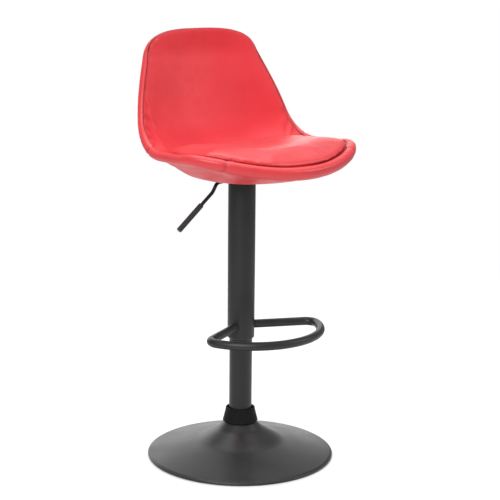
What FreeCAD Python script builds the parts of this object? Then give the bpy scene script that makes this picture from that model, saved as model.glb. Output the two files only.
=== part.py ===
import FreeCAD, Part
import math
import os
import Sketcher
from BOPTools import SplitAPI

doc = FreeCAD.newDocument("swivel_stool")
V = FreeCAD.Vector

# ---------------------------------------------------------------- driving dimensions, mm
SIZES = [
    ("base_radius", 205.0, "radius of the round foot"),
    ("base_rim_height", 8.0, "top of the foot's rim above the floor"),
    ("base_rim_gap", 1.6, "foot's edge above the floor"),
    ("base_wall", 1.6, "sheet steel of the foot"),
    ("base_cone_height", 79.0, "top of the foot's cone"),
    ("floor_ring_width", 10.0, "rubber ring under the foot"),
    ("floor_ring_height", 3.4, "rubber ring's height"),
    ("ballast_radius", 176.0, "steel weight plate in the foot"),
    ("ballast_bottom", 3.0, "weight plate above the floor"),
    ("ballast_thickness", 5.0, "weight plate's thickness"),
    ("hub_flange_radius", 52.0, "flange that the weight plate is screwed to"),
    ("hub_flange_thickness", 5.0, "flange's thickness"),
    ("hub_sleeve_wall", 4.0, "sleeve round the lower tube"),
    ("hub_sleeve_height", 52.0, "sleeve's height over the flange"),
    ("lower_tube_radius", 25.0, "fixed lower tube"),
    ("lower_tube_wall", 2.0, "its wall"),
    ("tube_overlap", 20.0, "lower tube left above the slide bush with the seat raised"),
    ("collar_height", 31.0, "plastic collar on the cone"),
    ("collar_wall", 2.0, "its wall"),
    ("collar_gap", 4.0, "gap between collar and lower tube"),
    ("cover_tube_radius", 29.5, "moving upper tube"),
    ("cover_tube_wall", 1.5, "its wall"),
    ("cover_tube_bottom", 270.0, "its lower end above the floor"),
    ("bush_length", 40.0, "nylon slide bush in the upper tube"),
    ("guide_length", 90.0, "guide bush in the lower tube"),
    ("lift_down", 100.0, "travel below the drawn height"),
    ("lift_up", 110.0, "travel above the drawn height"),
    ("cylinder_radius", 14.0, "gas cylinder"),
    ("cylinder_wall", 1.6, "its wall"),
    ("cylinder_gap", 16.0, "its upper end below the seat plate"),
    ("cylinder_spare", 23.32, "its lower end above the buffer with the seat lowered"),
    ("rod_radius", 5.0, "piston rod"),
    ("gland_height", 18.0, "cylinder's closed lower end"),
    ("piston_spare", 9.0, "piston above the gland with the seat raised"),
    ("piston_length", 17.0, "piston"),
    ("ball_radius", 2.4, "thrust bearing ball"),
    ("bearing_pitch", 9.4, "ball circle's radius"),
    ("race_radius", 13.0, "bearing race's outer radius"),
    ("race_thickness", 2.4, "bearing race"),
    ("end_plate_bottom", 17.0, "bearing plate above the floor"),
    ("end_plate_thickness", 5.0, "bearing plate"),
    ("slide_clearance", 0.08, "running fit, radial"),
    ("seat_clearance", 0.02, "fixed fit, radial"),
    ("footrest_up", 26.0, "middle of the footrest above the tube's lower end"),
    ("footrest_tube", 9.2, "footrest tube's radius"),
    ("footrest_wall", 1.6, "its wall"),
    ("footrest_reach", 185.0, "front of the loop from the column's axis"),
    ("footrest_bow", 151.0, "radius of the loop's front"),
    ("footrest_corner", 24.0, "radius of the loop's corners"),
    ("footrest_splay", 64.0, "angle of each arm from straight ahead, degrees"),
    ("plate_width", 150.0, "seat plate across"),
    ("plate_depth", 140.0, "seat plate front to back"),
    ("plate_thickness", 3.0, "seat plate"),
    ("plate_recess", 10.4, "seat plate above the cover's lowest line"),
    ("plate_bottom", 626.0, "column's height, to the underside of the seat plate"),
    ("screw_across", 60.0, "seat screws from the middle, across"),
    ("screw_along", 55.0, "seat screws from the middle, front to back"),
    ("screw_radius", 3.0, "M6 screw"),
    ("screw_length", 16.0, "M6 screw under its head"),
    ("lever_radius", 3.8, "lever rod"),
    ("grip_radius", 5.8, "lever grip"),
    ("grip_length", 76.0, "lever grip"),
    ("pivot_offset", 18.0, "lever pivot from the axis"),
    ("pivot_drop", 8.0, "lever pivot below the seat plate"),
    ("pivot_radius", 2.0, "lever pivot pin"),
    ("valve_radius", 4.0, "valve pin"),
    ("valve_travel", 2.0, "valve pin's travel"),
    ("seat_front", 206.0, "front of the seat from the axis"),
    ("seat_flat", 213.0, "straight part of the rim, front to bend"),
    ("bend_radius", 94.0, "bend between seat and back, at the rim"),
    ("back_lean", 20.5, "lean of the back's rim, degrees"),
    ("back_length", 188.0, "straight part of the back"),
    ("half_front", 218.0, "half width at the front"),
    ("half_seat", 213.0, "half width over the column"),
    ("half_bend", 209.0, "half width at the bend"),
    ("half_back", 186.0, "half width of the back"),
    ("half_top", 126.0, "half width at the top"),
    ("front_round", 120.0, "length of the rounded front"),
    ("bowl_round", 170.0, "length over which the bowl rises to the front edge"),
    ("top_round", 47.0, "length of the rounded top"),
    ("front_drop", 25.0, "droop of the front edge"),
    ("bowl_depth", 44.0, "depth of the shell below its rim"),
    ("outer_depth", 61.0, "depth of the outer cover below its rim"),
    ("shell_thickness", 8.0, "moulded shell"),
    ("pad_thickness", 5.6, "thin foam and cover inside the shell"),
    ("cover_thickness", 3.0, "outer cover at the rim"),
    ("skin_gap", 0.4, "gap between shell, pad and cover"),
    ("roll_radius", 9.0, "padded edge roll"),
    ("cushion_front", 19.0, "cushion's front edge from the rim, along the seat"),
    ("cushion_back", 266.0, "cushion's back edge from the rim, along the seat"),
    ("cushion_half", 178.0, "half width of the cushion"),
    ("cushion_edge", 5.0, "cushion's height at its seam"),
    ("cushion_crown", 48.0, "cushion's rise in the middle"),
]

sheet = doc.addObject("Spreadsheet::Sheet", "Sizes")
for row, (alias, value, note) in enumerate(SIZES, start=1):
    sheet.set("A%d" % row, note)
    sheet.set("B%d" % row, repr(value))
    sheet.setAlias("B%d" % row, alias)
doc.recompute()


class Size:
    """A sheet value, or a sum made from some: its expression and its number."""

    def __init__(self, text, value):
        self.text = text
        self.value = value

    def other(self, b):
        return b if isinstance(b, Size) else Size(repr(float(b)), float(b))

    def __add__(self, b):
        b = self.other(b)
        return Size("(%s + %s)" % (self.text, b.text), self.value + b.value)

    def __radd__(self, b):
        return self.other(b) + self

    def __sub__(self, b):
        b = self.other(b)
        return Size("(%s - %s)" % (self.text, b.text), self.value - b.value)

    def __rsub__(self, b):
        return self.other(b) - self

    def __mul__(self, b):
        b = self.other(b)
        return Size("(%s * %s)" % (self.text, b.text), self.value * b.value)

    def __rmul__(self, b):
        return self.other(b) * self

    def __truediv__(self, b):
        b = self.other(b)
        return Size("(%s / %s)" % (self.text, b.text), self.value / b.value)


S = {alias: Size("Sizes." + alias, float(sheet.get(alias))) for alias, value, note in SIZES}
N = {alias: size.value for alias, size in S.items()}
ZERO = Size("0", 0.0)
nodes = []


def keep(obj, label):
    obj.Label = label
    nodes.append(obj)
    return obj


def solid_node(label, shape, placement=None):
    """A node whose shape is worked out in code from the sheet's values."""
    obj = doc.addObject("Part::Feature", label)
    obj.Shape = shape
    if placement is not None:
        obj.Placement = placement
    return keep(obj, label)


def plane_of(body, role):
    for feature in body.Origin.OriginFeatures:
        if feature.Role == role:
            return feature
    raise RuntimeError("no plane " + role)


def outline_sketch(body, name, role, corners):
    """A closed polygon whose every corner is tied to the sheet."""
    sketch = body.newObject("Sketcher::SketchObject", name)
    sketch.AttachmentSupport = (plane_of(body, role), [""])
    sketch.MapMode = "FlatFace"
    count = len(corners)
    for i in range(count):
        a = corners[i]
        b = corners[(i + 1) % count]
        start = V(a[0].value, a[1].value, 0)
        end = V(b[0].value, b[1].value, 0)
        sketch.addGeometry(Part.LineSegment(start, end), False)
    for i in range(count):
        sketch.addConstraint(Sketcher.Constraint("Coincident", i, 2, (i + 1) % count, 1))
    for i, corner in enumerate(corners):
        for kind, axis, size in (("DistanceX", -2, corner[0]), ("DistanceY", -1, corner[1])):
            if abs(size.value) < 1e-9:
                sketch.addConstraint(Sketcher.Constraint("PointOnObject", i, 1, axis))
            else:
                index = sketch.addConstraint(
                    Sketcher.Constraint(kind, -1, 1, i, 1, size.value))
                sketch.setExpression("Constraints[%d]" % index, size.text)
    return sketch


def turned(label, corners):
    """A piece turned about the column's axis: corners are (radius, height)."""
    body = doc.addObject("PartDesign::Body", label)
    sketch = outline_sketch(body, label + "_profile", "XZ_Plane", corners)
    turn = body.newObject("PartDesign::Revolution", label + "_turn")
    turn.Profile = sketch
    turn.ReferenceAxis = (sketch, ["V_Axis"])
    turn.Angle = 360.0
    sketch.Visibility = False
    doc.recompute()
    return keep(body, label)


def rounded(body, rings, radius):
    """Rounds the circular edges of a turned piece that lie at (radius, height)."""
    names = []
    base = body.Tip
    for number, edge in enumerate(base.Shape.Edges, start=1):
        if not isinstance(edge.Curve, Part.Circle):
            continue
        for ring in rings:
            same_r = abs(edge.Curve.Radius - ring[0].value) < 0.01
            same_z = abs(edge.Curve.Center.z - ring[1].value) < 0.01
            if same_r and same_z:
                names.append("Edge%d" % number)
    fillet = body.newObject("PartDesign::Fillet", body.Label + "_round")
    fillet.Base = (base, sorted(set(names)))
    body.Tip = fillet
    fillet.Radius = radius.value
    fillet.setExpression("Radius", radius.text)
    doc.recompute()
    return fillet


def ring_corners(inner, outer, bottom, top):
    return [(inner, bottom), (outer, bottom), (outer, top), (inner, top)]


# ---------------------------------------------------------------- foot
wall = S["base_wall"]
cone_top = S["base_cone_height"]
sleeve_outer = S["lower_tube_radius"] + S["seat_clearance"] + S["hub_sleeve_wall"]
neck = sleeve_outer + 2.5
slope_r = S["base_radius"] * 0.44
slope_z = S["base_rim_height"] + (cone_top - S["base_rim_height"]) * 0.40
flare_r = S["base_radius"] * 0.24
flare_z = S["base_rim_height"] + (cone_top - S["base_rim_height"]) * 0.74
rim_r = S["base_radius"] - 5.0
base_shell = turned("base_shell", [
    (neck, cone_top - wall * 1.6),
    (flare_r - wall, flare_z - wall * 1.2),
    (slope_r - wall * 0.6, slope_z - wall * 1.1),
    (rim_r - wall * 0.3, S["base_rim_height"] - wall),
    (S["base_radius"] - wall, S["floor_ring_height"] + 0.4),
    (S["base_radius"] - wall, S["base_rim_gap"]),
    (S["base_radius"], S["base_rim_gap"]),
    (S["base_radius"], S["base_rim_height"] - 3.0),
    (rim_r, S["base_rim_height"]),
    (slope_r, slope_z),
    (flare_r, flare_z),
    (neck, cone_top),
])
rounded(base_shell, [(slope_r, slope_z)], S["base_radius"] * 0.42)
rounded(base_shell, [(slope_r - wall * 0.6, slope_z - wall * 1.1)], S["base_radius"] * 0.42)
rounded(base_shell, [(flare_r, flare_z), (flare_r - wall, flare_z - wall * 1.2)],
        S["base_radius"] * 0.12)
rounded(base_shell, [(S["base_radius"], S["base_rim_height"] - 3.0)], S["base_rim_height"] * 0.2)

ring_outer = S["base_radius"] - wall - 0.4
floor_ring = turned("floor_ring", ring_corners(
    ring_outer - S["floor_ring_width"], ring_outer, ZERO, S["floor_ring_height"]))

plate_hole = S["lower_tube_radius"] - 5.0
ballast_top = S["ballast_bottom"] + S["ballast_thickness"]
SCREWS = 4
bolt_circle = (S["hub_flange_radius"] + sleeve_outer) / 2
ballast = turned("ballast_plate", ring_corners(
    plate_hole, S["ballast_radius"], S["ballast_bottom"], ballast_top))
flange_top = ballast_top + S["hub_flange_thickness"]
tube_seat = S["lower_tube_radius"] + S["seat_clearance"]
hub = turned("base_hub", [
    (tube_seat, ballast_top),
    (S["hub_flange_radius"], ballast_top),
    (S["hub_flange_radius"], flange_top),
    (sleeve_outer, flange_top),
    (sleeve_outer, flange_top + S["hub_sleeve_height"]),
    (tube_seat, flange_top + S["hub_sleeve_height"]),
])


def drilled(body, radius, length, bottom):
    """Drills the ring of screw holes through a turned piece."""
    sketch = body.newObject("Sketcher::SketchObject", body.Label + "_holes")
    sketch.AttachmentSupport = (plane_of(body, "XY_Plane"), [""])
    sketch.MapMode = "FlatFace"
    sketch.AttachmentOffset.Base = V(0, 0, bottom.value)
    sketch.setExpression("AttachmentOffset.Base.z", bottom.text)
    sketch.addGeometry(Part.Circle(V(bolt_circle.value, 0, 0), V(0, 0, 1), radius.value), False)
    sketch.addConstraint(Sketcher.Constraint("PointOnObject", 0, 3, -1))
    where = sketch.addConstraint(
        Sketcher.Constraint("DistanceX", -1, 1, 0, 3, bolt_circle.value))
    sketch.setExpression("Constraints[%d]" % where, bolt_circle.text)
    wide = sketch.addConstraint(Sketcher.Constraint("Radius", 0, radius.value))
    sketch.setExpression("Constraints[%d]" % wide, radius.text)
    doc.recompute()
    pocket = body.newObject("PartDesign::Pocket", body.Label + "_hole")
    pocket.Profile = sketch
    pocket.Length = length.value
    pocket.setExpression("Length", length.text)
    pocket.Reversed = True
    doc.recompute()
    pattern = body.newObject("PartDesign::PolarPattern", body.Label + "_pattern")
    pattern.Originals = [pocket]
    pattern.Axis = (sketch, ["N_Axis"])
    pattern.Angle = 360.0
    pattern.Occurrences = SCREWS
    body.Tip = pattern
    sketch.Visibility = False
    doc.recompute()


hub_screw = S["screw_radius"] + 0.2
before = hub.Shape.Volume
drilled(hub, hub_screw, S["hub_flange_thickness"], ballast_top)
drilled(ballast, hub_screw, S["ballast_thickness"], S["ballast_bottom"])
lost = before - hub.Shape.Volume
print("hub holes take", round(lost, 1), "mm3")


def screw_shape(radius, length, head_radius, head_height, hex_depth):
    """A button head screw with a hexagon socket: head up, tip down, seat at z = 0."""
    shank = Part.makeCylinder(radius, length, V(0, 0, -length))
    head = Part.makeCylinder(head_radius, head_height)
    rim = [e for e in head.Edges if isinstance(e.Curve, Part.Circle)
           and e.Curve.Center.z > head_height / 2]
    head = head.makeFillet(head_height * 0.4, rim)
    points = []
    for k in range(7):
        turn = math.radians(60 * k)
        points.append(V(radius * 0.75 * math.cos(turn), radius * 0.75 * math.sin(turn),
                        head_height - hex_depth))
    socket = Part.Face(Part.makePolygon(points)).extrude(V(0, 0, hex_depth + 1))
    return shank.fuse(head).removeSplitter().cut(socket)


screw_long = N["ballast_thickness"] + N["hub_flange_thickness"] - 1.0
base_screws = []
for k in range(SCREWS):
    shape = screw_shape(N["screw_radius"], screw_long, N["screw_radius"] * 1.7, 3.2, 1.8)
    turn = 2 * math.pi * k / SCREWS
    shape.translate(V(bolt_circle.value * math.cos(turn), bolt_circle.value * math.sin(turn),
                      flange_top.value + 0.05))
    base_screws.append(shape)
solid_node("base_screws", Part.makeCompound(base_screws))

# ---------------------------------------------------------------- collar and lower tube
collar_bottom = cone_top - 2.0
collar_top = collar_bottom + S["collar_height"]
collar_in = S["lower_tube_radius"] + S["collar_gap"]
collar_out = collar_in + S["collar_wall"] + 1.5
foot_out = neck + 7.2
collar = turned("base_collar", [
    (foot_out - S["collar_wall"] - 0.8, collar_bottom + 2.8),
    (foot_out - 1.2, collar_bottom - 0.4),
    (foot_out, collar_bottom + 1.2),
    (foot_out - 1.4, collar_bottom + 6.0),
    (collar_out, collar_top - 5.0),
    (collar_out, collar_top - 1.8),
    (collar_out - 1.6, collar_top),
    (collar_in, collar_top),
    (collar_in, collar_top - 4.0),
    (collar_out - S["collar_wall"], collar_top - 6.0),
    (foot_out - 1.4 - S["collar_wall"], collar_bottom + 6.5),
])

tube_low = S["cover_tube_bottom"]
lower_top = tube_low + S["lift_up"] + S["bush_length"] + S["tube_overlap"]
tube_inner = S["lower_tube_radius"] - S["lower_tube_wall"]
lower_tube = turned("lower_tube", ring_corners(
    tube_inner, S["lower_tube_radius"], ballast_top, lower_top))

bore = S["cylinder_radius"] + S["slide_clearance"]
guide_out = tube_inner - S["seat_clearance"]
guide = turned("guide_bush", [
    (bore, lower_top - S["guide_length"]),
    (guide_out, lower_top - S["guide_length"]),
    (guide_out, lower_top),
    (S["lower_tube_radius"] - 0.6, lower_top),
    (S["lower_tube_radius"] - 0.6, lower_top + 2.0),
    (bore + 1.0, lower_top + 3.5),
    (bore, lower_top + 2.5),
])

# ---------------------------------------------------------------- swivel bearing
plate_low = S["end_plate_bottom"]
plate_high = plate_low + S["end_plate_thickness"]
turned("bearing_plate", ring_corners(
    S["rod_radius"] + 0.6, guide_out, plate_low, plate_high))
race_in = S["rod_radius"] + 0.5
race_top = plate_high + S["race_thickness"]
turned("lower_race", ring_corners(race_in, S["race_radius"], plate_high, race_top))
ball_middle = race_top + S["ball_radius"] + 0.04
cage_half = S["ball_radius"] * 0.42
cage_low = ball_middle - cage_half
cage = turned("bearing_cage", ring_corners(
    race_in + 0.3, S["race_radius"] - 0.3, cage_low, ball_middle + cage_half))
BALLS = 8
balls = []
cage_shape = cage.Shape
for k in range(BALLS):
    turn = 2 * math.pi * k / BALLS
    spot = V(N["bearing_pitch"] * math.cos(turn), N["bearing_pitch"] * math.sin(turn),
             ball_middle.value)
    balls.append(Part.makeSphere(N["ball_radius"], spot))
solid_node("bearing_balls", Part.makeCompound(balls))


def cage_holes():
    """Cuts the ball pockets in the cage."""
    sketch = cage.newObject("Sketcher::SketchObject", "cage_pocket_circle")
    sketch.AttachmentSupport = (plane_of(cage, "XY_Plane"), [""])
    sketch.MapMode = "FlatFace"
    sketch.AttachmentOffset.Base = V(0, 0, cage_low.value)
    sketch.setExpression("AttachmentOffset.Base.z", cage_low.text)
    pocket_r = S["ball_radius"] + 0.12
    sketch.addGeometry(
        Part.Circle(V(N["bearing_pitch"], 0, 0), V(0, 0, 1), pocket_r.value), False)
    sketch.addConstraint(Sketcher.Constraint("PointOnObject", 0, 3, -1))
    where = sketch.addConstraint(
        Sketcher.Constraint("DistanceX", -1, 1, 0, 3, N["bearing_pitch"]))
    sketch.setExpression("Constraints[%d]" % where, S["bearing_pitch"].text)
    wide = sketch.addConstraint(Sketcher.Constraint("Radius", 0, pocket_r.value))
    sketch.setExpression("Constraints[%d]" % wide, pocket_r.text)
    doc.recompute()
    pocket = cage.newObject("PartDesign::Pocket", "cage_pocket")
    pocket.Profile = sketch
    pocket.Length = cage_half.value * 2
    pocket.setExpression("Length", (cage_half * 2).text)
    pocket.Reversed = True
    doc.recompute()
    pattern = cage.newObject("PartDesign::PolarPattern", "cage_pattern")
    pattern.Originals = [pocket]
    pattern.Axis = (sketch, ["N_Axis"])
    pattern.Angle = 360.0
    pattern.Occurrences = BALLS
    cage.Tip = pattern
    sketch.Visibility = False
    doc.recompute()


solid_before = cage.Shape.Volume
cage_holes()
print("cage pockets take", round(solid_before - cage.Shape.Volume, 1), "mm3")

upper_low = ball_middle + S["ball_radius"] + 0.04
upper_high = upper_low + S["race_thickness"]
rod_fit = S["rod_radius"] + S["seat_clearance"]
turned("upper_race", ring_corners(rod_fit, S["race_radius"], upper_low, upper_high))
turned("rubber_buffer", [
    (rod_fit, upper_high),
    (S["race_radius"] - 1.0, upper_high),
    (S["race_radius"] - 0.4, upper_high + 5.0),
    (S["race_radius"] - 1.6, upper_high + 10.0),
    (rod_fit, upper_high + 10.0),
])
cyl_low = upper_high + 10.0 + S["lift_down"] + S["cylinder_spare"]
gland_top = cyl_low + S["gland_height"]
piston_low = gland_top + S["lift_up"] + S["piston_spare"]
groove_low = plate_low - 3.6
groove = 1.2
clip_in = S["rod_radius"] - groove
turned("piston_rod", [
    (ZERO, groove_low - 2.4),
    (S["rod_radius"] - 0.6, groove_low - 2.4),
    (S["rod_radius"], groove_low - 1.8),
    (S["rod_radius"], groove_low),
    (clip_in, groove_low),
    (clip_in, groove_low + 1.5),
    (S["rod_radius"], groove_low + 1.5),
    (S["rod_radius"], piston_low),
    (S["rod_radius"] - 1.5, piston_low),
    (S["rod_radius"] - 1.5, piston_low + S["piston_length"] + 3.0),
    (ZERO, piston_low + S["piston_length"] + 3.0),
])
turned("rod_washer", ring_corners(
    rod_fit, S["race_radius"] - 3.0, plate_low - 1.9, plate_low - 0.2))
clip_outer = S["rod_radius"] + 3.0
clip = Part.makeCylinder(clip_outer.value, 1.3)
clip = clip.cut(Part.makeCylinder(clip_in.value + 0.03, 1.3))
mouth = Part.makeBox(20, clip_in.value * 1.3, 3, V(0, -clip_in.value * 0.65, -1))
clip = clip.cut(mouth)
clip.translate(V(0, 0, groove_low.value + 0.1))
solid_node("retaining_clip", clip)

cavity_r = S["cylinder_radius"] - S["cylinder_wall"]
turned("piston", [
    (S["rod_radius"] - 1.5 + S["seat_clearance"], piston_low + 0.05),
    (cavity_r - S["slide_clearance"], piston_low + 0.05),
    (cavity_r - S["slide_clearance"], piston_low + 6.0),
    (cavity_r - 1.0, piston_low + 7.0),
    (cavity_r - 1.0, piston_low + S["piston_length"] - 7.0),
    (cavity_r - S["slide_clearance"], piston_low + S["piston_length"] - 6.0),
    (cavity_r - S["slide_clearance"], piston_low + S["piston_length"]),
    (S["rod_radius"] - 1.5 + S["seat_clearance"], piston_low + S["piston_length"]),
])

# ---------------------------------------------------------------- gas cylinder, moving tube
cyl_high = S["plate_bottom"] - S["cylinder_gap"]
valve_fit = S["valve_radius"] + S["slide_clearance"]
turned("gas_cylinder", [
    (S["rod_radius"] + S["slide_clearance"], cyl_low),
    (S["cylinder_radius"] - 1.0, cyl_low),
    (S["cylinder_radius"], cyl_low + 1.0),
    (S["cylinder_radius"], cyl_high - 40.0),
    (S["cylinder_radius"] - 1.0, cyl_high - 1.0),
    (S["cylinder_radius"] - 2.0, cyl_high),
    (valve_fit, cyl_high),
    (valve_fit, cyl_high - 14.0),
    (cavity_r - 1.0, cyl_high - 14.0),
    (cavity_r - 1.0, cyl_high - 40.0),
    (cavity_r, cyl_high - 44.0),
    (cavity_r, gland_top),
    (S["rod_radius"] + S["slide_clearance"], gland_top),
])
pivot_height = S["plate_bottom"] - S["pivot_drop"]
rod_under = pivot_height - S["lever_radius"]
turned("valve_pin", [
    (ZERO, cyl_high - 11.0),
    (S["valve_radius"], cyl_high - 11.0),
    (S["valve_radius"], rod_under - 1.9),
    (S["valve_radius"] - 1.6, rod_under - 0.3),
    (ZERO, rod_under - 0.3),
])

tube_out = S["cover_tube_radius"]
tube_in = tube_out - S["cover_tube_wall"]
cover_tube = turned("cover_tube", ring_corners(tube_in, tube_out, tube_low, S["plate_bottom"]))


def lever_slot():
    """The slot in the upper tube that the lever passes through."""
    half = S["lever_radius"] + 2.0
    low = pivot_height - S["lever_radius"] - 7.0
    reach = tube_out + 3.0
    corners = [
        (half * -1.0, low),
        (half, low),
        (half, S["plate_bottom"] + 1.0),
        (half * -1.0, S["plate_bottom"] + 1.0),
    ]
    sketch = outline_sketch(cover_tube, "lever_slot_outline", "YZ_Plane", corners)
    doc.recompute()
    pocket = cover_tube.newObject("PartDesign::Pocket", "lever_slot")
    pocket.Profile = sketch
    pocket.Length = reach.value
    pocket.setExpression("Length", reach.text)
    doc.recompute()
    sketch.Visibility = False
    return pocket


tube_before = cover_tube.Shape.Volume
slot = lever_slot()
slot_x = slot.AddSubShape.BoundBox.Center.x
if slot_x > 0:
    slot.Reversed = True
    doc.recompute()
print("lever slot takes", round(tube_before - cover_tube.Shape.Volume, 1), "mm3",
      "middle x", round(slot.AddSubShape.BoundBox.Center.x, 1))

bush_in = S["lower_tube_radius"] + S["slide_clearance"]
turned("slide_bush", [
    (bush_in, tube_low - 3.0),
    (tube_out - 2.4, tube_low - 3.0),
    (tube_out - 0.6, tube_low - 1.0),
    (tube_out - 0.6, tube_low - 0.02),
    (tube_in - S["seat_clearance"], tube_low - 0.02),
    (tube_in - S["seat_clearance"], tube_low + S["bush_length"]),
    (bush_in, tube_low + S["bush_length"]),
])
socket_in = S["cylinder_radius"] + S["seat_clearance"]
turned("taper_socket", [
    (socket_in, cyl_high - 38.0),
    (socket_in + 4.0, cyl_high - 38.0),
    (socket_in + 4.0, cyl_high - 12.0),
    (tube_in - S["seat_clearance"], cyl_high - 12.0),
    (tube_in - S["seat_clearance"], cyl_high - 8.0),
    (socket_in, cyl_high - 8.0),
])


# ---------------------------------------------------------------- footrest loop
def footrest():
    """Two arms from the column, rounded corners and a bowed front, swept as a tube."""
    r_bow = N["footrest_bow"]
    r_corner = N["footrest_corner"]
    centre = N["footrest_reach"] - r_bow
    splay = math.radians(N["footrest_splay"])
    arm = (math.cos(splay), math.sin(splay))
    inward = (arm[1], -arm[0])
    # corner circle: touches the arm's line and the bow from inside
    base_f = inward[0] * r_corner - centre
    base_s = inward[1] * r_corner
    half_b = arm[0] * base_f + arm[1] * base_s
    rest = base_f ** 2 + base_s ** 2 - (r_bow - r_corner) ** 2
    along = -half_b + math.sqrt(half_b ** 2 - rest)
    corner = (arm[0] * along + inward[0] * r_corner, arm[1] * along + inward[1] * r_corner)
    touch_arm = (arm[0] * along, arm[1] * along)
    out = (corner[0] - centre, corner[1])
    size = math.hypot(out[0], out[1])
    touch_bow = (centre + out[0] / size * r_bow, out[1] / size * r_bow)
    away = (touch_arm[0] - corner[0], touch_arm[1] - corner[1])
    toward = (touch_bow[0] - corner[0], touch_bow[1] - corner[1])
    middle = (away[0] + toward[0], away[1] + toward[1])
    length = math.hypot(middle[0], middle[1])
    mid = (corner[0] + middle[0] / length * r_corner, corner[1] + middle[1] / length * r_corner)
    z = tube_low.value + N["footrest_up"]

    def at(point, side):
        return V(-side * point[1], -point[0], z)

    start = (arm[0] * 20.0, arm[1] * 20.0)
    edges = [
        Part.LineSegment(at(start, 1), at(touch_arm, 1)).toShape(),
        Part.Arc(at(touch_arm, 1), at(mid, 1), at(touch_bow, 1)).toShape(),
        Part.Arc(at(touch_bow, 1), at((N["footrest_reach"], 0.0), 1),
                 at(touch_bow, -1)).toShape(),
        Part.Arc(at(touch_bow, -1), at(mid, -1), at(touch_arm, -1)).toShape(),
        Part.LineSegment(at(touch_arm, -1), at(start, -1)).toShape(),
    ]
    path = Part.Wire(edges)
    facing = at(touch_arm, 1) - at(start, 1)
    outer = Part.Wire(Part.Circle(at(start, 1), facing, N["footrest_tube"]).toShape())
    inner = Part.Wire(
        Part.Circle(at(start, 1), facing, N["footrest_tube"] - N["footrest_wall"]).toShape())
    shell = path.makePipeShell([outer], True, True)
    core = path.makePipeShell([inner], True, True)
    column = Part.makeCylinder(tube_out.value + 0.02, 120, V(0, 0, z - 60))
    loop = shell.cut(core).cut(column)
    solids = sorted(loop.Solids, key=lambda s: s.Volume)
    print("footrest parts", len(loop.Solids), "path", round(path.Length, 1))
    return solids[-1]


solid_node("footrest_ring", footrest())


# ---------------------------------------------------------------- seat plate and lever
def padded_box(label, x, y, z, at):
    box = doc.addObject("Part::Box", label)
    for prop, size in (("Length", x), ("Width", y), ("Height", z)):
        setattr(box, prop, size.value)
        box.setExpression(prop, size.text)
    box.Placement.Base = V(at[0].value, at[1].value, at[2].value)
    for axis, size in zip("xyz", at):
        box.setExpression("Placement.Base." + axis, size.text)
    return box


def drill_at(label, radius, height, at):
    hole = doc.addObject("Part::Cylinder", label)
    hole.Radius = radius.value
    hole.setExpression("Radius", radius.text)
    hole.Height = height.value
    hole.setExpression("Height", height.text)
    hole.Placement.Base = V(at[0].value, at[1].value, at[2].value)
    for axis, size in zip("xyz", at):
        hole.setExpression("Placement.Base." + axis, size.text)
    return hole


blank = padded_box("plate_blank", S["plate_width"], S["plate_depth"], S["plate_thickness"],
                   (S["plate_width"] * -0.5, S["plate_depth"] * -0.5, S["plate_bottom"]))
corner_round = doc.addObject("Part::Fillet", "plate_corners")
corner_round.Base = blank
doc.recompute()
upright = []
for number, edge in enumerate(blank.Shape.Edges, start=1):
    if abs(edge.tangentAt(edge.FirstParameter).z) > 0.9:
        upright.append((number, 16.0, 16.0))
corner_round.Edges = upright
holes = []
for i, (sx, sy) in enumerate(((-1, -1), (1, -1), (1, 1), (-1, 1))):
    holes.append(drill_at("plate_hole_%d" % i, S["screw_radius"] + 0.3,
                          S["plate_thickness"] + 2.0,
                          (S["screw_across"] * float(sx), S["screw_along"] * float(sy),
                           S["plate_bottom"] - 1.0)))
hole_set = doc.addObject("Part::MultiFuse", "plate_holes")
hole_set.Shapes = holes
seat_plate = doc.addObject("Part::Cut", "seat_plate")
seat_plate.Base = corner_round
seat_plate.Tool = hole_set
doc.recompute()
keep(seat_plate, "seat_plate")

ear_gap = N["lever_radius"] + 0.5
ear_wall = 2.5
pivot = V(-N["pivot_offset"], 0, pivot_height.value)
ears = []
for side in (-1, 1):
    low_y = ear_gap if side > 0 else -ear_gap - ear_wall
    ear = Part.makeBox(10, ear_wall, N["pivot_drop"],
                       V(pivot.x - 5, low_y, pivot_height.value))
    nose = Part.makeCylinder(5, ear_wall, V(pivot.x, low_y, pivot_height.value), V(0, 1, 0))
    ear = ear.fuse(nose).removeSplitter()
    ear = ear.cut(Part.makeCylinder(N["pivot_radius"] + N["seat_clearance"], ear_wall + 2,
                                    V(pivot.x, low_y - 1, pivot_height.value), V(0, 1, 0)))
    ears.append(ear)
solid_node("pivot_bracket", Part.makeCompound(ears))
pin_half = ear_gap + ear_wall + 1.0
pin = Part.makeCylinder(N["pivot_radius"], 2 * pin_half, V(pivot.x, -pin_half, pivot.z),
                        V(0, 1, 0))
solid_node("lever_pin", pin)


def bent_path(points, radii):
    """Straight runs joined by tangent arcs."""
    edges = []
    last = points[0]
    for i in range(1, len(points) - 1):
        into = (points[i] - points[i - 1]).normalize()
        onward = (points[i + 1] - points[i]).normalize()
        turn = into.getAngle(onward)
        trim = radii[i - 1] * math.tan(turn / 2)
        a = points[i] - into * trim
        b = points[i] + onward * trim
        bisector = (onward - into).normalize()
        centre = points[i] + bisector * (radii[i - 1] / math.cos(turn / 2))
        mid = centre - bisector * radii[i - 1]
        edges.append(Part.LineSegment(last, a).toShape())
        edges.append(Part.Arc(a, mid, b).toShape())
        last = b
    edges.append(Part.LineSegment(last, points[-1]).toShape())
    return Part.Wire(edges)


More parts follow.
